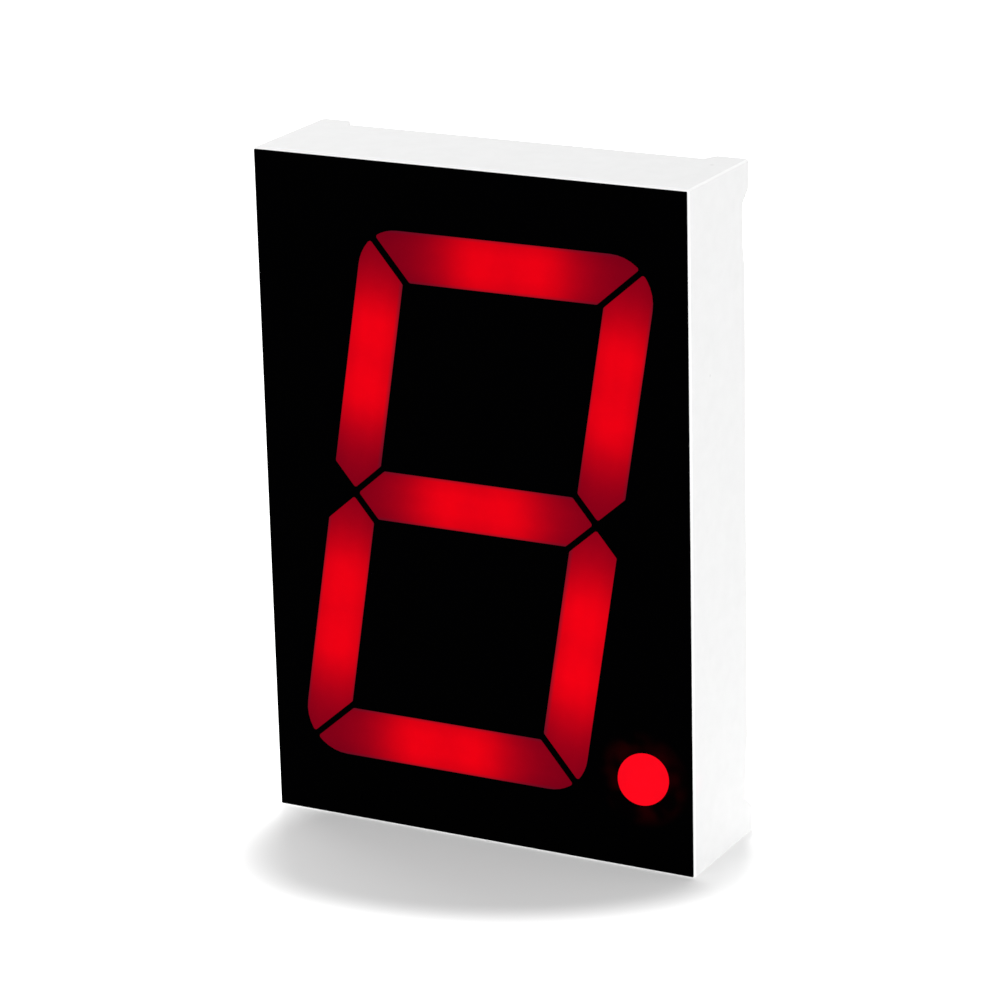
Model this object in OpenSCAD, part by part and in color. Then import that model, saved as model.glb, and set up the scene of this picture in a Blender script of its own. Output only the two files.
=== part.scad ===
// Single digit seven segment display with round decimal point.
// It stands upright: the digit faces -Y, +X is the viewer's right and the pins point along +Y.
// The origin is the middle of the casing's bottom wall, on its outer face.

/* [Casing] */
// Width of the casing
housing_w = 38.2; // [37.6:0.1:60]
// Height of the casing
housing_h = 56.2; // [55.2:0.1:80]
// Thickness of the side walls
wall_t = 1.2; // [0.8:0.1:1.5]
// Thickness of the front plate
front_t = 1.2; // [0.8:0.1:2]
// Radius of the casing's four corners, seen from the front
corner_r = 0.25; // [0.2:0.05:1]
// Chamfer around the front edge
edge_chamfer = 0.15; // [0.05:0.01:0.3]
// Height by which the side walls stand above the potting
rim_h = 0.3; // [0.3:0.1:2]
// Thickness of the stiffening ribs between the light wells and the walls
rib_t = 0.8; // [0.5:0.1:1.2]

/* [Corner feet] */
// Size of each corner post, from the casing's outer faces
foot_size = 3.3; // [2.4:0.1:4.5]
// Height of the feet behind the side walls
foot_h = 1.2; // [0.5:0.1:3]
// Run of each foot's sloped flank across the casing's width
foot_ramp_w = 0.6; // [0.2:0.1:1.2]
// Run of each foot's sloped flank along the casing's height
foot_ramp_h = 1.1; // [0.2:0.1:1.4]
// Length of the low lip on the side walls' rear edges
lip_l = 43; // [20:1:46]
// Height of that lip
lip_h = 0.35; // [0.1:0.05:0.45]
// Thickness of that lip
lip_t = 0.5; // [0.3:0.1:0.8]
// Run of the slope at each end of that lip
lip_ramp = 2; // [0.5:0.1:3]

/* [Digit] */
// Height of the digit
digit_h = 45; // [36:0.5:45.2]
// Width of the digit, measured level
digit_w = 25.9; // [20:0.1:26.4]
// Lean of the digit, in degrees
slant = 9.4; // [4:0.1:12]
// Stroke of each segment
stroke = 4.15; // [3.2:0.05:5.2]
// Gap between neighbouring segments
gap = 0.55; // [0.4:0.05:1]
// Radius of the digit's four outer corners
digit_r = 3.6; // [2.5:0.1:4.2]
// Rounding at the tips of the segments
tip_r = 0.2; // [0.1:0.05:0.4]
// Height of the middle bar's centre above the middle of the digit
middle_rise = 0.4; // [0:0.05:0.6]
// Height of the four corner gaps above the digit's corners
corner_gap_rise = 0.2; // [0:0.05:0.25]

/* [Decimal point] */
// Diameter of the point
point_d = 4.5; // [4.2:0.1:4.7]
// Lean of the point, in degrees
point_lean = 6; // [0:0.5:8]
// Distance of the point to the right of the face's centre
point_x = 14.66; // [14:0.01:14.8]
// Distance of the point below the face's centre
point_drop = 20.3; // [18:0.1:22]

/* [Light wells] */
// Depth from the face to the front of the circuit board
well_depth = 6.6; // [5:0.1:12]
// Depth of each well's straight mouth
well_land = 0.9; // [0.5:0.1:2]
// Distance that each well's sides come in by the time they reach the board
well_taper = 0.7; // [0.3:0.05:0.9]
// Wall around each well
well_wall = 0.7; // [0.4:0.05:0.8]

/* [Printed face] */
// Thickness of the black layer
print_t = 0.1; // [0.05:0.01:0.3]
// Radius of the black layer's four corners
print_corner_r = 0.08; // [0.05:0.01:0.4]

/* [Circuit board] */
// Thickness of the board
board_t = 1.2; // [0.8:0.1:2]
// Clearance between the board and the casing
board_clear = 0.15; // [0.05:0.05:0.3]
// Thickness of the potting resin behind the board
potting_t = 1.7; // [1.4:0.1:3]
// Height to which the potting has crept up the walls and the pins
creep_h = 0.15; // [0.05:0.05:0.2]
// Width over which it creeps
creep_w = 0.35; // [0.1:0.05:0.5]
// Thickness of the copper
copper_t = 0.05; // [0.03:0.01:0.1]
// Width of the tracks behind the board
track_w = 0.6; // [0.3:0.05:0.8]
// Width of the strips that carry the dice
strip_w = 1; // [0.7:0.1:1]
// Gap between two strips
strip_gap = 0.3; // [0.2:0.05:0.4]
// Diameter of the plated through holes
via_d = 0.4; // [0.3:0.05:0.6]
// Ring of copper around each through hole
via_ring = 0.25; // [0.15:0.05:0.3]
// Distance of the track lanes inside the pin rows
lane_in = 2; // [1.6:0.1:2.4]
// Distance of the outer track lane from the side of the digit
lane_out = 2.5; // [2:0.1:3]

/* [Dice and bond wires] */
// Side of each square die
die_w = 0.35; // [0.25:0.05:0.5]
// Height of each die
die_h = 0.25; // [0.15:0.05:0.4]
// Spacing of the two dice in a level segment
level_pitch = 6; // [4:0.1:8]
// Spacing of the two dice in an upright segment
upright_pitch = 5.2; // [4:0.1:8]
// Distance from the last die of a level segment to the through hole
level_tail = 4; // [3:0.1:4.4]
// Distance from the last die of an upright segment to the through hole
upright_tail = 3.4; // [2.6:0.1:3.6]
// Clearance between the ends of the point's row of strips and the foot of its well
strip_clear = 0.15; // [0.15:0.01:0.2]
// Diameter of the bond wires
wire_d = 0.08; // [0.04:0.01:0.12]
// Reach of each bond wire, from the die to the next strip
wire_reach = 1.1; // [1:0.05:1.4]

/* [Pins] */
// Number of pins in each row
pins_per_row = 5; // [5:1:5]
// Spacing of the pins along a row
pin_pitch = 2.54; // [2:0.01:3.2]
// Distance between the two rows
row_spacing = 48.26; // [48:0.01:49]
// Diameter of each pin's free end
lead_d = 0.5; // [0.4:0.05:0.6]
// Length by which the pins reach past the corner feet
lead_out = 4.5; // [2:0.1:8]
// Chamfer at the pins' tips
lead_chamfer = 0.15; // [0.05:0.05:0.2]
// Diameter of the pins' shoulders, which pass through the board
shoulder_d = 0.84; // [0.7:0.02:1]
// Length by which the shoulders stand out of the potting
shoulder_out = 0.25; // [0.1:0.05:0.4]
// Length by which the shoulders stand out in front of the board
shoulder_nose = 0.5; // [0.2:0.1:0.8]
// Clearance around each shoulder in the board, which solder fills
hole_clear = 0.06; // [0.04:0.01:0.1]
// Further clearance around and in front of each shoulder in the casing's ribs
nose_clear = 0.2; // [0.1:0.05:0.4]
// Diameter of the ring pads
pad_d = 1.9; // [1.7:0.05:2]
// Height of each solder cone
solder_h = 0.9; // [0.5:0.1:1.1]
// Diameter at the top of each solder cone
solder_tip_d = 1.1; // [1.05:0.05:1.3]

/* [Hidden] */
SEGMENTS = ["a", "b", "c", "d", "e", "f", "g"];
ROWS = concat(SEGMENTS, ["point"]);
PIN_COUNT = 2 * pins_per_row;

// Depths are counted from the face, backwards
board_rear = well_depth + board_t;
potting_rear = board_rear + potting_t;
wall_depth = potting_rear + rim_h;
foot_rear = wall_depth + foot_h;
shoulder_rear = potting_rear + shoulder_out;
lead_rear = foot_rear + lead_out;
face_y = -wall_depth / 2;
mid_z = housing_h / 2;

// Half sizes of the digit before it leans, and the level reach of half a gap along a mitre
half_w = digit_w / 2;
half_h = digit_h / 2;
mitre = gap / sqrt(2);
bar_z = half_h - stroke / 2;
bar_x = half_w - stroke / 2;
point = [point_x, -point_drop];
hole_r = shoulder_d / 2 + hole_clear;

// The dice sit in a row along the middle of each well: strips of copper lead to a hole at each end
strip_half = strip_w / 2;
level_via = level_pitch / 2 + level_tail;
upright_via = upright_pitch / 2 + upright_tail;
point_via = point_d / 2 - well_taper - strip_clear - strip_half;
// Tracks run in lanes inside the pin rows, and one lane passes outside the digit
lane_z = row_spacing / 2 - lane_in;
side_lane_x = half_w + lane_out;

past = 1;
sliver = 0.01;
// The wells are drawn on past the board with the same slope
well_end = well_depth + past;
end_taper = well_taper * (well_end - well_land) / (well_depth - well_land);
arc_steps = 10;
tip_fn = 16;
round_fn = 48;
wire_fn = 16;

// A point of the upright digit, leaned over
function lean(p) = [p[0] + p[1] * tan(slant), p[1]];

// One rounded outer corner of the leaning digit
function corner_arc(side, end, from, to) =
    let (z = end * (half_h - digit_r), x = side * (half_w - digit_r / cos(slant)) + z * tan(slant))
    [for (i = [0:arc_steps])
        let (a = from + (to - from) * i / arc_steps)
        [x + digit_r * cos(a), z + digit_r * sin(a)]];

// Corners of the top (end 1) or bottom (end -1) bar
function level_bar(end) =
    let (reach = half_w - mitre - end * corner_gap_rise)
    [
        [-reach, end * half_h],
        [reach, end * half_h],
        [reach - stroke, end * (half_h - stroke)],
        [stroke - reach, end * (half_h - stroke)]
    ];

// Corners of the middle bar, pointed at both ends
function middle_bar() = [
    for (q = [[-1, 0, 0], [-1, 1, 1], [1, 1, 1], [1, 0, 0], [1, -1, 1], [-1, -1, 1]])
        [q[0] * (bar_x - mitre - q[2] * stroke / 2), middle_rise + q[1] * stroke / 2]
];

// Corners of an upright bar: side is 1 on the right, end is 1 in the upper half
function upright_bar(side, end) = [
    [side * half_w, end * (half_h - mitre) + corner_gap_rise],
    [side * half_w, middle_rise + end * (stroke / 2 + mitre)],
    [side * bar_x, middle_rise + end * mitre],
    [side * (half_w - stroke), middle_rise + end * (stroke / 2 + mitre)],
    [side * (half_w - stroke), end * (half_h - stroke - mitre) + corner_gap_rise]
];

function bar(s) =
    s == "a" ? level_bar(1) :
    s == "b" ? upright_bar(1, 1) :
    s == "c" ? upright_bar(1, -1) :
    s == "d" ? level_bar(-1) :
    s == "e" ? upright_bar(-1, -1) :
    s == "f" ? upright_bar(-1, 1) :
    middle_bar();

// Middle of a well's row of dice, seen from the front
function row_at(s) =
    let (upper_z = (middle_rise + bar_z) / 2, lower_z = (middle_rise - bar_z) / 2)
    s == "a" ? lean([0, bar_z]) :
    s == "b" ? lean([bar_x, upper_z]) :
    s == "c" ? lean([bar_x, lower_z]) :
    s == "d" ? lean([0, -bar_z]) :
    s == "e" ? lean([-bar_x, lower_z]) :
    s == "f" ? lean([-bar_x, upper_z]) :
    s == "g" ? lean([0, middle_rise]) :
    point;

function is_level(s) = s == "a" || s == "d" || s == "g";
function row_turn(s) = is_level(s) ? 0 : 90 - (s == "point" ? point_lean : slant);
function row_via(s) = is_level(s) ? level_via : s == "point" ? point_via : upright_via;
function dice_x(s) =
    s == "point" ? [-point_via + strip_half - die_w] :
    is_level(s) ? [-level_pitch / 2, level_pitch / 2] :
    [-upright_pitch / 2, upright_pitch / 2];

// Place of the through hole at one end (-1 or 1) of a row of dice
function via_at(s, end) =
    row_at(s) + end * row_via(s) * [cos(row_turn(s)), sin(row_turn(s))];

// Pins count along the bottom row from the left, then back along the top row
function pin_at(i) =
    i <= pins_per_row
        ? [(i - (pins_per_row + 1) / 2) * pin_pitch, -row_spacing / 2]
        : [((3 * pins_per_row + 1) / 2 - i) * pin_pitch, row_spacing / 2];

// Extrudes an outline, drawn as seen from the front, between two depths
module slab(from, to) {
    translate([0, face_y + to, mid_z]) rotate([90, 0, 0]) linear_extrude(to - from) children();
}

// Extrudes a side view, whose X runs up and Y runs back, across a width
module across(width) {
    translate([width / 2, 0, mid_z]) rotate([0, -90, 0]) linear_extrude(width) children();
}

// A round bar or cone between two depths, at a place seen from the front
module bar_at(p, from, to, r_front, r_rear) {
    translate([p[0], face_y + from, mid_z + p[1]]) rotate([-90, 0, 0])
        cylinder(h = to - from, r1 = r_front, r2 = r_rear, $fn = round_fn);
}

// Leans the point, or its collar, over about its own centre
module lean_point() {
    shear = tan(point_lean);
    multmatrix([[1, 0, shear, -shear * (mid_z + point[1])], [0, 1, 0, 0], [0, 0, 1, 0]]) children();
}

// Stands on the board's front at the middle of a row of dice: X runs along the row, Y to the face
module on_row(s) {
    translate([row_at(s)[0], face_y + well_depth, mid_z + row_at(s)[1]])
        rotate([0, -row_turn(s), 0]) rotate([180, 0, 0]) children();
}

module rounded_rectangle(w, h, r) {
    square([w - 2 * r, h], center = true);
    square([w, h - 2 * r], center = true);
    for (x = [r - w / 2, w / 2 - r], y = [r - h / 2, h / 2 - r])
        translate([x, y]) circle(r, $fn = round_fn);
}

// Outline of the whole leaning digit, with its outer corners rounded
module digit_blank() {
    polygon(concat(
        corner_arc(1, -1, 270, 360 - slant),
        corner_arc(1, 1, -slant, 90),
        corner_arc(-1, 1, 90, 180 - slant),
        corner_arc(-1, -1, 180 - slant, 270)
    ));
}

// Outline of one segment at the face
module segment_outline(s) {
    offset(r = tip_r, $fn = tip_fn) offset(delta = -tip_r) intersection() {
        polygon([for (p = bar(s)) lean(p)]);
        digit_blank();
    }
}

// The space inside one light well: a straight mouth, then sides that draw in on the way back.
// It runs on past the front of the board.
module well(s) {
    if (s == "point") lean_point() {
        bar_at(point, 0, well_land, point_d / 2, point_d / 2);
        bar_at(point, well_land, well_end, point_d / 2, point_d / 2 - end_taper);
    } else hull() {
        slab(0, well_land) segment_outline(s);
        slab(well_end - sliver, well_end) offset(delta = -end_taper) segment_outline(s);
    }
}

// The resin that fills a well, level with the face and with the front of the board
module resin(s) {
    intersection() {
        well(s);
        slab(0, well_depth) square([housing_w, housing_h], center = true);
    }
}

// Inside of the casing's walls, with the corner posts left standing
module inside_outline() {
    difference() {
        square([housing_w - 2 * wall_t, housing_h - 2 * wall_t], center = true);
        for (x = [-1, 1], y = [-1, 1])
            translate([x * housing_w / 2, y * housing_h / 2])
                square(2 * foot_size, center = true);
    }
}

// Walls and feet as one block: its front, top and side views cut from each other
module casing_block() {
    intersection() {
        slab(print_t, foot_rear) rounded_rectangle(housing_w, housing_h, corner_r);
        linear_extrude(housing_h) block_section(housing_w);
        across(housing_w) block_section(housing_h);
    }
}

// Section of the block across its width or height, chamfered in front
module block_section(size) {
    front = face_y + print_t;
    rear = face_y + foot_rear;
    polygon([
        [edge_chamfer - size / 2, front],
        [size / 2 - edge_chamfer, front],
        [size / 2, front + edge_chamfer],
        [size / 2, rear],
        [-size / 2, rear],
        [-size / 2, front + edge_chamfer]
    ]);
}

// What is cut away behind the walls so that only the corner feet stand, with sloped flanks
module foot_relief(size, ramp) {
    half = size / 2 - foot_size;
    polygon([
        [-half, face_y + wall_depth],
        [half, face_y + wall_depth],
        [half + ramp, face_y + foot_rear],
        [half + ramp, face_y + foot_rear + past],
        [-half - ramp, face_y + foot_rear + past],
        [-half - ramp, face_y + foot_rear]
    ]);
}

// Low lip along the rear edge of a side wall, ramped at both ends
module side_lip() {
    foot = face_y + wall_depth;
    across(lip_t) polygon([
        [-lip_l / 2, foot - sliver],
        [lip_l / 2, foot - sliver],
        [lip_l / 2 - lip_ramp, foot + lip_h],
        [lip_ramp - lip_l / 2, foot + lip_h]
    ]);
}

module walls() {
    difference() {
        casing_block();
        slab(front_t, foot_rear + past) inside_outline();
        translate([0, 0, -past]) linear_extrude(housing_h + 2 * past)
            foot_relief(housing_w, foot_ramp_w);
        across(housing_w + 2 * past) foot_relief(housing_h, foot_ramp_h);
    }
    for (side = [-1, 1]) translate([side * (housing_w - lip_t) / 2, 0, 0]) side_lip();
}

// Collars around the wells and the ribs that tie them to the walls
module collars() {
    inside_w = housing_w - wall_t;
    inside_h = housing_h - wall_t;
    slab(print_t, well_depth) intersection() {
        square([inside_w, inside_h], center = true);
        union() {
            offset(delta = well_wall) for (s = SEGMENTS) segment_outline(s);
            translate([0, middle_rise]) square([housing_w, rib_t], center = true);
            square([rib_t, housing_h], center = true);
            translate([point_x, point[1] - rib_t / 2]) square([housing_w, rib_t]);
            translate([point_x - rib_t / 2, point[1] - housing_h]) square([rib_t, housing_h]);
        }
    }
    lean_point() bar_at(point, print_t, well_depth, point_d / 2 + well_wall, point_d / 2 + well_wall);
}

// Moulded white casing: walls, feet, front plate and the reflecting light wells in one piece
module housing() {
    color("white") difference() {
        union() {
            walls();
            collars();
        }
        for (s = ROWS) well(s);
        for (i = [1:PIN_COUNT])
            bar_at(pin_at(i), well_depth - shoulder_nose - nose_clear, well_depth + past,
                hole_r + nose_clear, hole_r + nose_clear);
    }
}

// Black printed layer on the front plate, open over every well
module black_face() {
    color("black") difference() {
        slab(0, print_t) difference() {
            rounded_rectangle(housing_w - 2 * edge_chamfer, housing_h - 2 * edge_chamfer,
                print_corner_r);
            for (s = SEGMENTS) segment_outline(s);
        }
        well("point");
    }
}

// Red diffusing resin, cast in its well around the dice and wires
module light_bar(s) {
    color([0.9, 0, 0.07]) difference() {
        resin(s);
        row_strips(s);
        row_dice(s);
        row_wires(s);
    }
}

// Copper strips of one row: each die sits near a strip's end and its wire lands on the next strip
module row_strips(s) {
    dice = dice_x(s);
    ends = [for (x = dice) x + strip_half];
    starts = concat([-row_via(s) - strip_half], [for (e = ends) e + strip_gap]);
    stops = concat(ends, [row_via(s) + strip_half]);
    on_row(s) {
        for (i = [0:len(starts) - 1])
            translate([starts[i], 0, -strip_half])
                cube([stops[i] - starts[i], copper_t, strip_w]);
        for (end = [-1, 1])
            translate([end * row_via(s), -board_t, 0]) rotate([-90, 0, 0])
                cylinder(h = board_t + copper_t, d = via_d, $fn = round_fn);
    }
}

module row_dice(s) {
    color("gold") on_row(s) for (x = dice_x(s))
        translate([x - die_w / 2, copper_t, -die_w / 2]) cube([die_w, die_h, die_w]);
}

// Each bond wire is a half ring from the top of its die, with a straight leg to the next strip
module row_wires(s) {
    loop_r = wire_reach / 2;
    color("gold") on_row(s) for (x = dice_x(s)) translate([x + loop_r, copper_t + die_h, 0]) {
        rotate_extrude(angle = 180, $fn = round_fn) translate([loop_r, 0])
            circle(d = wire_d, $fn = wire_fn);
        translate([loop_r, -die_h, 0]) rotate([-90, 0, 0])
            cylinder(h = die_h, d = wire_d, $fn = wire_fn);
    }
}

module front_copper() {
    color("goldenrod") {
        for (s = ROWS) row_strips(s);
    }
}

// Rigid board that closes the wells from behind, notched around the corner posts
module circuit_board() {
    color("seagreen") difference() {
        slab(well_depth, board_rear) offset(delta = -board_clear) inside_outline();
        for (s = ROWS, end = [-1, 1])
            bar_at(via_at(s, end), well_depth - past, board_rear + past, via_d / 2, via_d / 2);
        for (i = [1:PIN_COUNT])
            bar_at(pin_at(i), well_depth - past, board_rear + past, hole_r, hole_r);
    }
}

// A track that runs level or upright from each point to the next
module track(points) {
    for (i = [0:len(points) - 2]) {
        low = [min(points[i][0], points[i + 1][0]), min(points[i][1], points[i + 1][1])];
        high = [max(points[i][0], points[i + 1][0]), max(points[i][1], points[i + 1][1])];
        translate(low - [track_w, track_w] / 2) square(high - low + [track_w, track_w]);
    }
}

// A track from a hole straight up or down to a height, then along it and to a pin
module track_by_lane(hole, z, i) {
    track([hole, [hole[0], z], [pin_at(i)[0], z], pin_at(i)]);
}

// Tracks and ring pads: one pin for each segment and for the point, two pins for what they share
module rear_copper() {
    pin_z = row_spacing / 2;
    color("goldenrod") difference() {
        slab(board_rear, board_rear + copper_t) {
            for (i = [1:PIN_COUNT]) translate(pin_at(i)) circle(d = pad_d, $fn = round_fn);
            for (s = ROWS, end = [-1, 1])
                translate(via_at(s, end)) circle(via_d / 2 + via_ring, $fn = round_fn);
            track_by_lane(via_at("e", -1), -pin_z, 1);
            track_by_lane(via_at("d", -1), -lane_z, 2);
            track_by_lane(via_at("c", -1), -lane_z, 4);
            track_by_lane(via_at("point", -1), -pin_z, 5);
            track_by_lane(via_at("b", 1), pin_z, 6);
            track_by_lane(via_at("a", 1), lane_z, 7);
            track_by_lane(via_at("f", 1), lane_z, 9);
            track([via_at("g", -1), [-side_lane_x, middle_rise], [-side_lane_x, pin_z], pin_at(10)]);
            track([pin_at(3), pin_at(8)]);
            for (hole = [via_at("a", -1), via_at("b", -1), via_at("c", 1), via_at("d", 1),
                    via_at("e", 1), via_at("f", -1), via_at("g", 1)])
                track([hole, [0, hole[1]]]);
            track([via_at("point", 1), [via_at("point", 1)[0], row_at("c")[1]], [0, row_at("c")[1]]]);
        }
        for (i = [1:PIN_COUNT])
            bar_at(pin_at(i), board_rear - past, board_rear + past, hole_r, hole_r);
    }
}

// Round pin with a thicker shoulder where it passes through the board and the potting
module pin(i) {
    tip = lead_rear - lead_chamfer;
    color("silver") {
        bar_at(pin_at(i), well_depth - shoulder_nose, shoulder_rear, shoulder_d / 2, shoulder_d / 2);
        bar_at(pin_at(i), shoulder_rear, tip, lead_d / 2, lead_d / 2);
        bar_at(pin_at(i), tip, lead_rear, lead_d / 2, lead_d / 2 - lead_chamfer);
    }
}

// Solder around each shoulder: it fills the hole in the board and stands as a cone on the ring pad
module solder_joints() {
    color("lightgray") difference() {
        solder_blanks();
        shoulder_holes();
    }
}

module solder_blanks() {
    foot = board_rear + copper_t;
    for (i = [1:PIN_COUNT]) {
        bar_at(pin_at(i), well_depth, foot, hole_r, hole_r);
        bar_at(pin_at(i), foot, foot + solder_h, pad_d / 2, solder_tip_d / 2);
    }
}

module shoulder_holes() {
    for (i = [1:PIN_COUNT])
        bar_at(pin_at(i), well_depth - past, foot_rear, shoulder_d / 2, shoulder_d / 2);
}

// Section of the potting where it has crept up the two walls that lie this far apart
module creep_section(size) {
    level = face_y + potting_rear;
    foot = creep_w * (1 + sliver / creep_h);
    for (side = [-1, 1]) polygon([
        [side * size / 2, level - sliver],
        [side * (size / 2 - foot), level - sliver],
        [side * size / 2, level + creep_h]
    ]);
}

// Resin poured over the back of the board: level, but crept up the walls and the pins
module potting() {
    run_w = housing_w - 2 * foot_size;
    run_h = housing_h - 2 * foot_size;
    color([0.85, 0.85, 0.75]) difference() {
        union() {
            slab(board_rear, potting_rear) inside_outline();
            across(run_w) creep_section(housing_h - 2 * wall_t);
            translate([0, 0, foot_size]) linear_extrude(run_h) creep_section(housing_w - 2 * wall_t);
            for (i = [1:PIN_COUNT])
                bar_at(pin_at(i), potting_rear - sliver, potting_rear + creep_h,
                    shoulder_d / 2 + creep_w, shoulder_d / 2 + sliver);
        }
        rear_copper();
        solder_blanks();
        shoulder_holes();
    }
}

housing();
black_face();
for (s = SEGMENTS) light_bar(s);
light_bar("point");  // decimal_point
circuit_board();
front_copper();
rear_copper();
for (s = SEGMENTS) row_dice(s);
row_dice("point");  // die_point
for (s = SEGMENTS) row_wires(s);
row_wires("point");  // wire_point
for (i = [1:PIN_COUNT]) pin(i);
solder_joints();
potting();
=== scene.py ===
from math import cos, radians, sin

import bpy
from mathutils import Matrix, Vector


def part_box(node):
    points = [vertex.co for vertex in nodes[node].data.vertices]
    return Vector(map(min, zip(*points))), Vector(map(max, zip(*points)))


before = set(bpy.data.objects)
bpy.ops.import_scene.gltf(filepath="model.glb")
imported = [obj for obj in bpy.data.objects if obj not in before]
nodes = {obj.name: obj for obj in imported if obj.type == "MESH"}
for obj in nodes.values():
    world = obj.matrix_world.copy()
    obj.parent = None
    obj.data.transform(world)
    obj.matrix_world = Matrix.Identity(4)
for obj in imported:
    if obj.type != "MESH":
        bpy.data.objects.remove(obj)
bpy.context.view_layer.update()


# ---------------------------------------------------------------------------
# Camera. A long lens a third of a metre away, to the right of the display's
# front and a little above it.
camera_place = (0.147588, -0.277149, 0.130097)
view_right = Vector((0.88570, 0.46366, -0.02342))
view_up = Vector((-0.12405, 0.28495, 0.95048))
view_ahead = Vector((-0.44738, 0.83894, -0.30990))

camera_data = bpy.data.cameras.new("camera")
camera_data.lens = 147.87
camera_data.sensor_width = 36
camera = bpy.data.objects.new("camera", camera_data)
bpy.context.scene.collection.objects.link(camera)
camera.matrix_world = (
    Matrix.Translation(camera_place)
    @ Matrix((view_right, view_up, -view_ahead)).transposed().to_4x4()
)
bpy.context.scene.camera = camera
bpy.context.scene.view_settings.view_transform = "Standard"


# ---------------------------------------------------------------------------
# Room. White paper runs under and behind the display. Large soft boxes and white walls light it
# evenly, and the one overhead lays its shadow in front. The paper's own glow, painted light,
# whitens it beyond an oval round that shadow.
def feed(tree, slot, term):
    """Sets a slot to a plain value, or links it to another node's output."""
    if isinstance(term, bpy.types.NodeSocket):
        tree.links.new(term, slot)
    else:
        slot.default_value = term


def maths(tree, operation, first, second=0.0, clamp=False):
    """A Math node's result for two terms, each a number or an output."""
    node = tree.nodes.new("ShaderNodeMath")
    node.operation = operation
    node.use_clamp = clamp
    feed(tree, node.inputs[0], first)
    feed(tree, node.inputs[1], second)
    return node.outputs[0]


def between(tree, value, low, high, to_low, to_high):
    """A value carried smoothly from one range to another, and held at its ends."""
    node = tree.nodes.new("ShaderNodeMapRange")
    node.interpolation_type = "SMOOTHSTEP"
    slots = ("Value", "From Min", "From Max", "To Min", "To Max")
    for slot, term in zip(slots, (value, low, high, to_low, to_high)):
        feed(tree, node.inputs[slot], term)
    return node.outputs["Result"]


def display_places(tree):
    """Places on the surface, in metres from the middle of the display's foot."""
    return tree.nodes.new("ShaderNodeTexCoord").outputs["Object"]


def distance_from(tree, spot):
    """How far each place on the surface is from one spot of the display."""
    node = tree.nodes.new("ShaderNodeVectorMath")
    node.operation = "DISTANCE"
    feed(tree, node.inputs[0], display_places(tree))
    feed(tree, node.inputs[1], spot)
    return node.outputs["Value"]


def seen_directly(tree):
    """One where the eye, a gloss or a clear body sees a surface, nought where it only lights."""
    path = tree.nodes.new("ShaderNodeLightPath").outputs
    eye_or_gloss = maths(tree, "MAXIMUM", path["Is Camera Ray"], path["Is Glossy Ray"])
    return maths(tree, "MAXIMUM", eye_or_gloss, path["Is Transmission Ray"])


def new_finish(name, roughness=0.5, gloss=0.5):
    """A material with the two constants that hold all over the surface."""
    finish = bpy.data.materials.new(name)
    finish.use_nodes = True
    shader = finish.node_tree.nodes["Principled BSDF"]
    shader.inputs["Roughness"].default_value = roughness
    shader.inputs["Specular IOR Level"].default_value = gloss
    return finish, finish.node_tree, shader


wall_light = 0.5
wall_white = 1.0
room = bpy.data.worlds.new("room")
bpy.context.scene.world = room
room.use_nodes = True
tree = room.node_tree
walls = tree.nodes["Background"]
walls.inputs["Color"].default_value = (1, 1, 1, 1)
feed(tree, walls.inputs["Strength"],
     between(tree, seen_directly(tree), 0.0, 1.0, wall_light, wall_white))

# Seen directly, the paper keeps the display's shadow inside an oval round it, and beyond the oval
# its own glow paints it pure white. The two reaches count in half widths of that oval. Unseen by
# the eye, the paper also glows onto the casing, a painted light that is strongest next to the
# foot
oval_middle = (0.0025, -0.0055, 0)
oval_turn = radians(24.4)
oval_half_widths = (0.018, 0.0111, 1)
shadow_ends, white_starts = 1.0, 1.6
lift_in_shadow, lift_beyond = 0.08, 0.8
glow_at_foot, glow_ends = 0.29, 0.08
white_paper, tree, shader = new_finish("white_paper", roughness=0.9, gloss=0.0)
shader.inputs["Base Color"].default_value = (0.92, 0.92, 0.92, 1)
shader.inputs["Emission Color"].default_value = (1, 1, 1, 1)
from_foot = distance_from(tree, (0, 0, 0))
oval = tree.nodes.new("ShaderNodeMapping")
oval.vector_type = "TEXTURE"
oval.inputs["Location"].default_value = oval_middle
oval.inputs["Rotation"].default_value = (0, 0, oval_turn)
oval.inputs["Scale"].default_value = oval_half_widths
feed(tree, oval.inputs["Vector"], display_places(tree))
reach = tree.nodes.new("ShaderNodeVectorMath")
reach.operation = "LENGTH"
feed(tree, reach.inputs[0], oval.outputs["Vector"])
# Painted light: the paper's own glow, whitening it beyond the oval and lighting the casing near
# the foot
lift = tree.nodes.new("ShaderNodeMix")
feed(tree, lift.inputs[0], seen_directly(tree))
feed(tree, lift.inputs[2], between(tree, from_foot, 0.0, glow_ends, glow_at_foot, 0.0))
feed(tree, lift.inputs[3],
     between(tree, reach.outputs["Value"], shadow_ends, white_starts,
             lift_in_shadow, lift_beyond))
feed(tree, shader.inputs["Emission Strength"], lift.outputs[0])

bpy.ops.object.select_all(action="DESELECT")
bpy.ops.mesh.primitive_circle_add(vertices=96, radius=1.4, fill_type="NGON", location=(0, 0, 0))
floor = bpy.context.object
floor.name = "floor"
floor.data.materials.append(white_paper)

# Each box's place, the length of its side and its watts
soft_boxes = {
    "overhead_box": ((-0.15, 0.3, 0.94), 0.14, 2.2),
    "side_box": ((0.9, -0.35, 0.12), 0.5, 4.3),
    "rear_box": ((-1.6, 1.2, 0.6), 1.2, 12.0),
    "front_box": ((-0.2, -0.92, 0.6), 0.5, 2.8),
}
display_middle = Vector((0, 0, 0.028))
for name, (place, side, watts) in soft_boxes.items():
    lamp = bpy.data.lights.new(name, "AREA")
    lamp.shape = "SQUARE"
    lamp.size = side
    lamp.energy = watts
    soft_box = bpy.data.objects.new(name, lamp)
    bpy.context.scene.collection.objects.link(soft_box)
    towards_display = (display_middle - Vector(place)).to_track_quat("-Z", "Y")
    soft_box.matrix_world = Matrix.Translation(place) @ towards_display.to_matrix().to_4x4()
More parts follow.
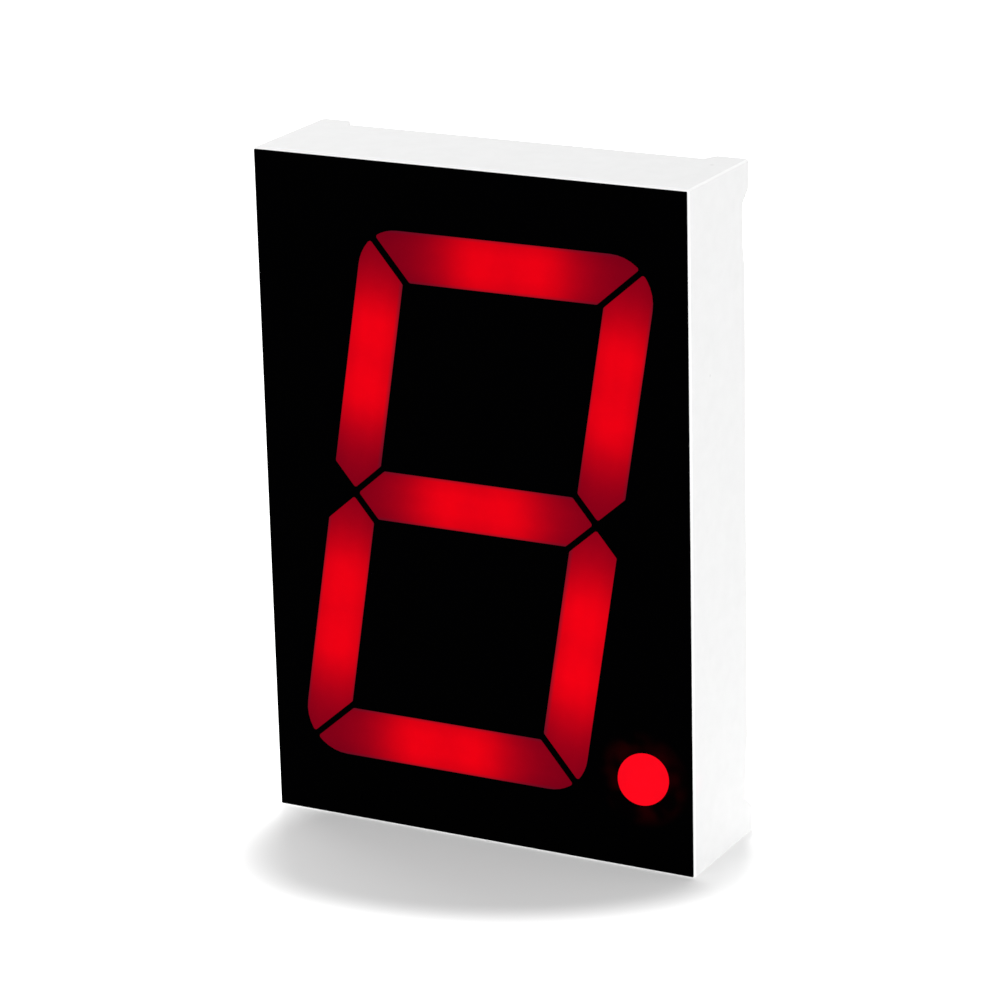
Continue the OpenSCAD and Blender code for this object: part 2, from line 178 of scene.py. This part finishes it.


# ---------------------------------------------------------------------------
# Casing. One shot of white plastic with a fine spark-eroded skin. Handling has polished its outer
# edges a little and left a few grey specks; the edges are also painted near white, a painted
# highlight.
def new_group(name, inputs, outputs):
    """A node group with its (name, kind, value) inputs and (name, kind) outputs."""
    group = bpy.data.node_groups.new(name, "ShaderNodeTree")
    for label, kind, value in inputs:
        slot = group.interface.new_socket(name=label, in_out="INPUT", socket_type=kind)
        slot.default_value = value
    for label, kind in outputs:
        group.interface.new_socket(name=label, in_out="OUTPUT", socket_type=kind)
    given = group.nodes.new("NodeGroupInput").outputs
    made = group.nodes.new("NodeGroupOutput").inputs
    return group, given, made


def noise(tree, scale, detail=2.0, roughness=0.5):
    """Soft noise over the display, with its scale in waves to the metre."""
    node = tree.nodes.new("ShaderNodeTexNoise")
    feed(tree, node.inputs["Vector"], display_places(tree))
    feed(tree, node.inputs["Scale"], scale)
    feed(tree, node.inputs["Detail"], detail)
    feed(tree, node.inputs["Roughness"], roughness)
    return node.outputs["Fac"]


def blend_colours(tree, share, first, second, blend="MIX"):
    """Two colours mixed by a share. Each is a plain colour or an output."""
    node = tree.nodes.new("ShaderNodeMix")
    node.data_type = "RGBA"
    node.blend_type = blend
    feed(tree, node.inputs[0], share)
    feed(tree, node.inputs[6], first)
    feed(tree, node.inputs[7], second)
    return node.outputs[2]


def axes(tree):
    """The three coordinates of each place on the surface, as X, Y and Z outputs."""
    node = tree.nodes.new("ShaderNodeSeparateXYZ")
    feed(tree, node.inputs[0], display_places(tree))
    return node.outputs


def place_group(tree, group, **values):
    """A group node with its values set. An underscore in a name stands for a space."""
    node = tree.nodes.new("ShaderNodeGroup")
    node.node_tree = group
    for label, value in values.items():
        node.inputs[label.replace("_", " ")].default_value = value
    return node.outputs


def wear_skin(tree, shader, **values):
    """Puts the skin group on a shader. Its outputs come back, to be worked on."""
    worn = place_group(tree, skin, **values)
    feed(tree, shader.inputs["Base Color"], worn["Colour"])
    feed(tree, shader.inputs["Roughness"], worn["Roughness"])
    feed(tree, shader.inputs["Normal"], worn["Normal"])
    return worn


def give(finish, *names):
    for name in names:
        mesh = nodes[name].data
        mesh.materials.clear()
        mesh.materials.append(finish)


# Skin: soft mottling, fine grain and a bump, for everything moulded, cast, plated or printed
bump_height = 0.00002
skin, given, made = new_group(
    "skin",
    (
        ("Colour", "NodeSocketColor", (0.8, 0.8, 0.8, 1)),
        ("Mottle", "NodeSocketFloat", 0.02),
        ("Mottle scale", "NodeSocketFloat", 300.0),
        ("Roughness", "NodeSocketFloat", 0.5),
        ("Roughness spread", "NodeSocketFloat", 0.08),
        ("Grain scale", "NodeSocketFloat", 5000.0),
        ("Grain depth", "NodeSocketFloat", 0.1),
    ),
    (
        ("Colour", "NodeSocketColor"),
        ("Roughness", "NodeSocketFloat"),
        ("Normal", "NodeSocketVector"),
    ),
)
clouds = noise(skin, given["Mottle scale"], 4.0, 0.6)
grain = noise(skin, given["Grain scale"], 2.0, 0.6)
darkened = maths(skin, "MULTIPLY", maths(skin, "SUBTRACT", 1.0, clouds), given["Mottle"])
kept = maths(skin, "SUBTRACT", 1.0, darkened)
kept_grey = skin.nodes.new("ShaderNodeCombineColor")
for channel in ("Red", "Green", "Blue"):
    feed(skin, kept_grey.inputs[channel], kept)
mottled = blend_colours(skin, 1.0, given["Colour"], kept_grey.outputs[0], "MULTIPLY")
feed(skin, made["Colour"], mottled)
unevenness = maths(skin, "SUBTRACT", maths(skin, "ADD", clouds, grain), 1.0)
wander = maths(skin, "MULTIPLY", unevenness, given["Roughness spread"])
feed(skin, made["Roughness"], maths(skin, "ADD", given["Roughness"], wander, True))
relief = skin.nodes.new("ShaderNodeBump")
feed(skin, relief.inputs["Distance"], bump_height)
feed(skin, relief.inputs["Strength"], given["Grain depth"])
feed(skin, relief.inputs["Height"], grain)
feed(skin, made["Normal"], relief.outputs["Normal"])

# Edges: one along the four corners that run front to back, and round the front rim, where the
# casing carries its painted highlight and its polish
casing_low, casing_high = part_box("housing")
edges, given, made = new_group(
    "edges", (("Width", "NodeSocketFloat", 0.0002),), (("Edge", "NodeSocketFloat"),))
x_y_z = axes(edges)
off_walls = []
for axis in (0, 2):
    middle = (casing_low[axis] + casing_high[axis]) / 2
    half = (casing_high[axis] - casing_low[axis]) / 2
    off_middle = maths(edges, "ABSOLUTE", maths(edges, "SUBTRACT", x_y_z[axis], middle))
    off_walls.append(maths(edges, "SUBTRACT", half, off_middle))
off_corner = maths(edges, "MAXIMUM", *off_walls)
off_front = maths(edges, "SUBTRACT", x_y_z["Y"], casing_low.y)
off_edge = maths(edges, "MINIMUM", off_corner, off_front)
full_width = maths(edges, "MULTIPLY", given["Width"], 0.6)
feed(edges, made["Edge"], between(edges, off_edge, full_width, given["Width"], 1.0, 0.0))

# Specks: one cell of the pattern in ten or so holds a small round fleck
specks, given, made = new_group(
    "specks",
    (("Scale", "NodeSocketFloat", 260.0), ("Size", "NodeSocketFloat", 0.02)),
    (("Speck", "NodeSocketFloat"),),
)
cells = specks.nodes.new("ShaderNodeTexVoronoi")
feed(specks, cells.inputs["Vector"], display_places(specks))
feed(specks, cells.inputs["Scale"], given["Scale"])
cell_colour = specks.nodes.new("ShaderNodeSeparateColor")
feed(specks, cell_colour.inputs[0], cells.outputs["Color"])
chosen = between(specks, cell_colour.outputs[0], 0.9, 0.93, 0.0, 1.0)
twice = maths(specks, "MULTIPLY", given["Size"], 2.0)
inside = between(specks, cells.outputs["Distance"], given["Size"], twice, 1.0, 0.0)
feed(specks, made["Speck"], maths(specks, "MULTIPLY", chosen, inside))

casing_white, tree, shader = new_finish("casing_white", gloss=0.3)
worn = wear_skin(tree, shader, Colour=(0.905, 0.905, 0.905, 1), Mottle=0.085, Mottle_scale=700.0,
                 Roughness=0.48, Roughness_spread=0.16, Grain_scale=4200.0, Grain_depth=0.35)
edge = place_group(tree, edges, Width=0.0002)["Edge"]
dirt = place_group(tree, specks, Scale=150.0, Size=0.022)["Speck"]
# Two faint flecks, one on the right wall and one on top, with their radii
flecks = {(0.0191, -0.0013, 0.0407): 0.00008, (0.0173, 0.0032, 0.0562): 0.00012}
for spot, radius in flecks.items():
    fleck = between(tree, distance_from(tree, spot), radius, radius * 1.8, 0.2, 0.0)
    dirt = maths(tree, "MAXIMUM", dirt, fleck)
# The lit point shines faintly through the wall beside it
point_low, point_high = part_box("decimal_point")
point_middle = (point_low + point_high) / 2
beside_point = (casing_high.x, casing_low.y + 0.0005, point_middle.z)
shone_through = between(tree, distance_from(tree, beside_point), 0.0003, 0.0015, 0.6, 0.0)
warmed = blend_colours(tree, shone_through, worn["Colour"], (0.91, 0.855, 0.87, 1))
# Painted highlight: the edges are painted near white. Only the lower roughness there comes from
# polish
highlighted_edges = blend_colours(tree, edge, warmed, (0.99, 0.99, 0.99, 1))
flecked = blend_colours(tree, dirt, highlighted_edges, (0.35, 0.34, 0.33, 1))
feed(tree, shader.inputs["Base Color"], flecked)
polish = maths(tree, "MULTIPLY", edge, 0.15)
feed(tree, shader.inputs["Roughness"], maths(tree, "SUBTRACT", worn["Roughness"], polish))
give(casing_white, "housing")


# ---------------------------------------------------------------------------
# Black face. A coat of matt black ink, pad-printed on the front plate and open
# over each light well. A little red light leaks into it around the point.
black_ink, tree, shader = new_finish("black_ink", gloss=0.002)
wear_skin(tree, shader, Colour=(0.0002, 0.0002, 0.0003, 1), Mottle=0.5, Mottle_scale=500.0,
          Roughness=0.7, Roughness_spread=0.2, Grain_scale=9000.0, Grain_depth=0.2)
point_radius = (point_high.x - point_low.x) / 2
from_point = distance_from(tree, (point_middle.x, point_low.y, point_middle.z))
near_point = between(tree, from_point, point_radius * 1.1, point_radius * 1.9, 0.48, 0.0)
thin_ink = between(tree, noise(tree, 420.0, 1.0, 0.5), 0.38, 0.62, 0.1, 2.0)
leak = maths(tree, "MULTIPLY", near_point, thin_ink)
feed(tree, shader.inputs["Emission Color"],
     blend_colours(tree, leak, (0, 0, 0, 1), (0.012, 0.0, 0.0002, 1)))
shader.inputs["Emission Strength"].default_value = 1.0
give(black_ink, "black_face")


# ---------------------------------------------------------------------------
# Circuit board and copper. Woven glass and resin under a green lacquer, with
# gold-flashed copper strips in front and tracks behind.
board_green, tree, shader = new_finish("board_green")
worn = wear_skin(tree, shader, Colour=(0.04, 0.22, 0.1, 1), Mottle=0.2, Mottle_scale=250.0,
                 Roughness=0.35, Roughness_spread=0.15, Grain_scale=3000.0, Grain_depth=0.2)
glass_weave = tree.nodes.new("ShaderNodeTexWave")
feed(tree, glass_weave.inputs["Vector"], display_places(tree))
feed(tree, glass_weave.inputs["Scale"], 500.0)
feed(tree, glass_weave.inputs["Distortion"], 1.5)
weave_share = maths(tree, "MULTIPLY", glass_weave.outputs["Fac"], 0.25)
feed(tree, shader.inputs["Base Color"],
     blend_colours(tree, weave_share, worn["Colour"], (0.12, 0.35, 0.16, 1)))
give(board_green, "circuit_board")

gold_flash, tree, shader = new_finish("gold_flash")
wear_skin(tree, shader, Colour=(0.86, 0.6, 0.28, 1), Mottle=0.3, Mottle_scale=700.0,
          Roughness=0.32, Roughness_spread=0.2, Grain_scale=6000.0, Grain_depth=0.3)
shader.inputs["Metallic"].default_value = 1.0
give(gold_flash, "front_copper", "rear_copper")


# ---------------------------------------------------------------------------
# Dice and bond wires. Bare red-light dice with a gold contact on top, each tied
# to the next strip by a fine gold wire. The resin hides them.
segment_letters = "abcdefg"
die_crystal, tree, shader = new_finish("die_crystal")
wear_skin(tree, shader, Colour=(0.5, 0.36, 0.2, 1), Mottle=0.3, Mottle_scale=9000.0,
          Roughness=0.25, Roughness_spread=0.1, Grain_scale=30000.0, Grain_depth=0.2)
give(die_crystal, *["dice_" + letter for letter in segment_letters], "die_point")

gold_wire, tree, shader = new_finish("gold_wire")
wear_skin(tree, shader, Colour=(0.93, 0.68, 0.3, 1), Mottle=0.1, Mottle_scale=9000.0,
          Roughness=0.2, Roughness_spread=0.08, Grain_scale=30000.0, Grain_depth=0.1)
shader.inputs["Metallic"].default_value = 1.0
give(gold_wire, *["wires_" + letter for letter in segment_letters], "wire_point")


# ---------------------------------------------------------------------------
# Segments. Milky red resin, cast in the wells over two dice each. The light
# stands in a soft patch over the dice and dies away towards the bar's tips.
steepness = 4.4            # of the fall from the patch to the tips
tip_light = 0.18           # what is left at the tips
over_die, die_reach = 1.09, 0.0032
sides_start, sides_end = 0.0006, 0.0021
rim_starts, rim_ends = 0.00175, 0.00215
lit_resin, given, made = new_group(
    "lit_resin",
    (
        ("Row x", "NodeSocketFloat", 0.0),
        ("Row z", "NodeSocketFloat", 0.0),
        ("Turn", "NodeSocketFloat", 0.0),
        ("Die place", "NodeSocketFloat", 0.003),
        ("Fade", "NodeSocketFloat", 0.006),
        ("Brightness", "NodeSocketFloat", 0.75),
        ("Side light", "NodeSocketFloat", 0.84),
        ("Rim light", "NodeSocketFloat", 0.45),
    ),
    (("Glow", "NodeSocketColor"),),
)
x_y_z = axes(lit_resin)
off_x = maths(lit_resin, "SUBTRACT", x_y_z["X"], given["Row x"])
off_z = maths(lit_resin, "SUBTRACT", x_y_z["Z"], given["Row z"])
cos_turn = maths(lit_resin, "COSINE", given["Turn"])
sin_turn = maths(lit_resin, "SINE", given["Turn"])
along = maths(lit_resin, "ABSOLUTE", maths(
    lit_resin, "ADD",
    maths(lit_resin, "MULTIPLY", off_x, cos_turn), maths(lit_resin, "MULTIPLY", off_z, sin_turn)))
aside = maths(lit_resin, "ABSOLUTE", maths(
    lit_resin, "SUBTRACT",
    maths(lit_resin, "MULTIPLY", off_z, cos_turn), maths(lit_resin, "MULTIPLY", off_x, sin_turn)))
spent = maths(lit_resin, "POWER", maths(lit_resin, "DIVIDE", along, given["Fade"]), steepness)
patch = maths(lit_resin, "DIVIDE", 1.0, maths(lit_resin, "ADD", 1.0, spent))
from_die = maths(lit_resin, "ABSOLUTE", maths(lit_resin, "SUBTRACT", along, given["Die place"]))
cloudiness = noise(lit_resin, 600.0, 3.0, 0.6)
rim = between(lit_resin, aside, rim_starts, rim_ends, 1.0, given["Rim light"])
shares = (
    between(lit_resin, from_die, 0.0, die_reach, over_die, 1.0),
    between(lit_resin, aside, sides_start, sides_end, 1.0, given["Side light"]),
    rim,
    between(lit_resin, cloudiness, 0.25, 0.75, 0.97, 1.03),
    given["Brightness"],
)
light = maths(lit_resin, "ADD", maths(lit_resin, "MULTIPLY", patch, 1.0 - tip_light), tip_light)
for share in shares:
    light = maths(lit_resin, "MULTIPLY", light, share)
# The dim ends lean towards purple, and the rim gets a painted highlight in green and blue
rim_highlight = maths(lit_resin, "SUBTRACT", 1.0, rim)
dim_blue = between(lit_resin, patch, 0.0, 1.0, 0.004, 0.0018)
highlight_blue = maths(lit_resin, "MULTIPLY", rim_highlight, 0.014)
glow = lit_resin.nodes.new("ShaderNodeCombineColor")
feed(lit_resin, glow.inputs["Red"], light)
feed(lit_resin, glow.inputs["Green"], maths(lit_resin, "MULTIPLY", rim_highlight, 0.008))
feed(lit_resin, glow.inputs["Blue"], maths(lit_resin, "ADD", dim_blue, highlight_blue))
feed(lit_resin, made["Glow"], glow.outputs[0])


def cast_resin(name, colour, **light_patch):
    """Red resin for one well, lit by its own patch of light, which falls on nothing else."""
    resin, tree, shader = new_finish("lit_" + name, gloss=0.004)
    wear_skin(tree, shader, Colour=colour, Mottle=0.25, Mottle_scale=900.0,
              Roughness=0.55, Roughness_spread=0.15, Grain_scale=7000.0, Grain_depth=0.15)
    glow = place_group(tree, lit_resin, **light_patch)["Glow"]
    feed(tree, shader.inputs["Emission Color"], glow)
    feed(tree, shader.inputs["Emission Strength"], seen_directly(tree))
    give(resin, name)


# Which way each well runs, how far its patch sits from its middle, how far that reaches and
# how bright it is
upright = radians(90 - 9.4)
light_patches = {
    "a": (0.0, 0.00015, 0.0057, 0.73),
    "b": (upright, 0.0006, 0.0062, 0.745),
    "c": (upright, 0.0006, 0.0066, 0.79),
    "d": (0.0, 0.00015, 0.0058, 0.75),
    "e": (upright, 0.0005, 0.0066, 0.755),
    "f": (upright, 0.0006, 0.0061, 0.765),
    "g": (0.0, 0.00015, 0.0059, 0.75),
}
for letter, (turn, lift, fade, brightness) in light_patches.items():
    name = "segment_" + letter
    low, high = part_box(name)
    middle = (low + high) / 2
    cast_resin(name, (0.05, 0.0, 0.005, 1), Turn=turn, Fade=fade, Brightness=brightness,
               Row_x=middle.x + lift * cos(turn), Row_z=middle.z + lift * sin(turn))


# ---------------------------------------------------------------------------
# Decimal point. The same resin in a round well over one die. The well is so
# small that the light fills it evenly.
cast_resin("decimal_point", (0.05, 0.003, 0.012, 1), Row_x=point_middle.x, Row_z=point_middle.z,
           Die_place=0.0, Fade=0.01, Brightness=0.9, Side_light=1.0, Rim_light=1.0)


# ---------------------------------------------------------------------------
# Pins and solder. Drawn wire pins, tin-plated, with faint lengthwise drawing
# marks and a slightly dull skin, soldered into the board from behind.
tin_plate, tree, shader = new_finish("tin_plate")
worn = wear_skin(tree, shader, Colour=(0.74, 0.74, 0.75, 1), Mottle=0.25, Mottle_scale=900.0,
                 Roughness=0.3, Roughness_spread=0.12, Grain_scale=9000.0, Grain_depth=0.25)
shader.inputs["Metallic"].default_value = 1.0
# Squeezed across the pin, the noise becomes streaks along it
stretch = tree.nodes.new("ShaderNodeMapping")
stretch.inputs["Scale"].default_value = (14.0, 1.0, 14.0)
feed(tree, stretch.inputs["Vector"], display_places(tree))
streaks = tree.nodes.new("ShaderNodeTexNoise")
feed(tree, streaks.inputs["Vector"], stretch.outputs["Vector"])
feed(tree, streaks.inputs["Scale"], 450.0)
feed(tree, streaks.inputs["Detail"], 3.0)
drawing_mark = streaks.outputs["Fac"]
mark_share = between(tree, drawing_mark, 0.45, 0.75, 0.0, 0.35)
feed(tree, shader.inputs["Base Color"],
     blend_colours(tree, mark_share, worn["Colour"], (0.5, 0.5, 0.52, 1)))
dulled = between(tree, drawing_mark, 0.4, 0.8, 0.0, 0.2)
feed(tree, shader.inputs["Roughness"], maths(tree, "ADD", worn["Roughness"], dulled))
pin_numbers = range(1, 11)
give(tin_plate, *["pin_%d" % number for number in pin_numbers])

solder, tree, shader = new_finish("solder")
wear_skin(tree, shader, Colour=(0.62, 0.63, 0.65, 1), Mottle=0.3, Mottle_scale=1500.0,
          Roughness=0.28, Roughness_spread=0.2, Grain_scale=6000.0, Grain_depth=0.3)
shader.inputs["Metallic"].default_value = 1.0
give(solder, "solder_joints")


# ---------------------------------------------------------------------------
# Potting. Milky epoxy poured over the back of the board and cured level. It is
# greener where it is thin, greyer over the solder and paler where it crept up.
potting_epoxy, tree, shader = new_finish("potting_epoxy")
worn = wear_skin(tree, shader, Colour=(0.72, 0.71, 0.63, 1), Mottle=0.1, Mottle_scale=160.0,
                 Roughness=0.27, Roughness_spread=0.12, Grain_scale=700.0, Grain_depth=0.5)
thin_places = between(tree, noise(tree, 70.0, 3.0, 0.5), 0.35, 0.7, 0.0, 0.5)
thinned = blend_colours(tree, thin_places, worn["Colour"], (0.5, 0.57, 0.46, 1))
potting_low, potting_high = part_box("potting")
from_pin = 1.0
for number in pin_numbers:
    pin_low, pin_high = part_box("pin_%d" % number)
    pin_middle = (pin_low + pin_high) / 2
    spot = (pin_middle.x, potting_high.y, pin_middle.z)
    from_pin = maths(tree, "MINIMUM", from_pin, distance_from(tree, spot))
over_solder = between(tree, from_pin, 0.0008, 0.0014, 0.4, 0.0)
greyed = blend_colours(tree, over_solder, thinned, (0.46, 0.47, 0.43, 1))
crept_up = between(tree, axes(tree)["Y"], potting_high.y - 0.00015, potting_high.y, 0.0, 0.7)
rimmed = blend_colours(tree, crept_up, greyed, (0.84, 0.84, 0.78, 1))
bubbles = place_group(tree, specks, Scale=420.0, Size=0.1)["Speck"]
bubble_share = maths(tree, "MULTIPLY", bubbles, 0.25)
feed(tree, shader.inputs["Base Color"],
     blend_colours(tree, bubble_share, rimmed, (0.9, 0.9, 0.84, 1)))
give(potting_epoxy, "potting")
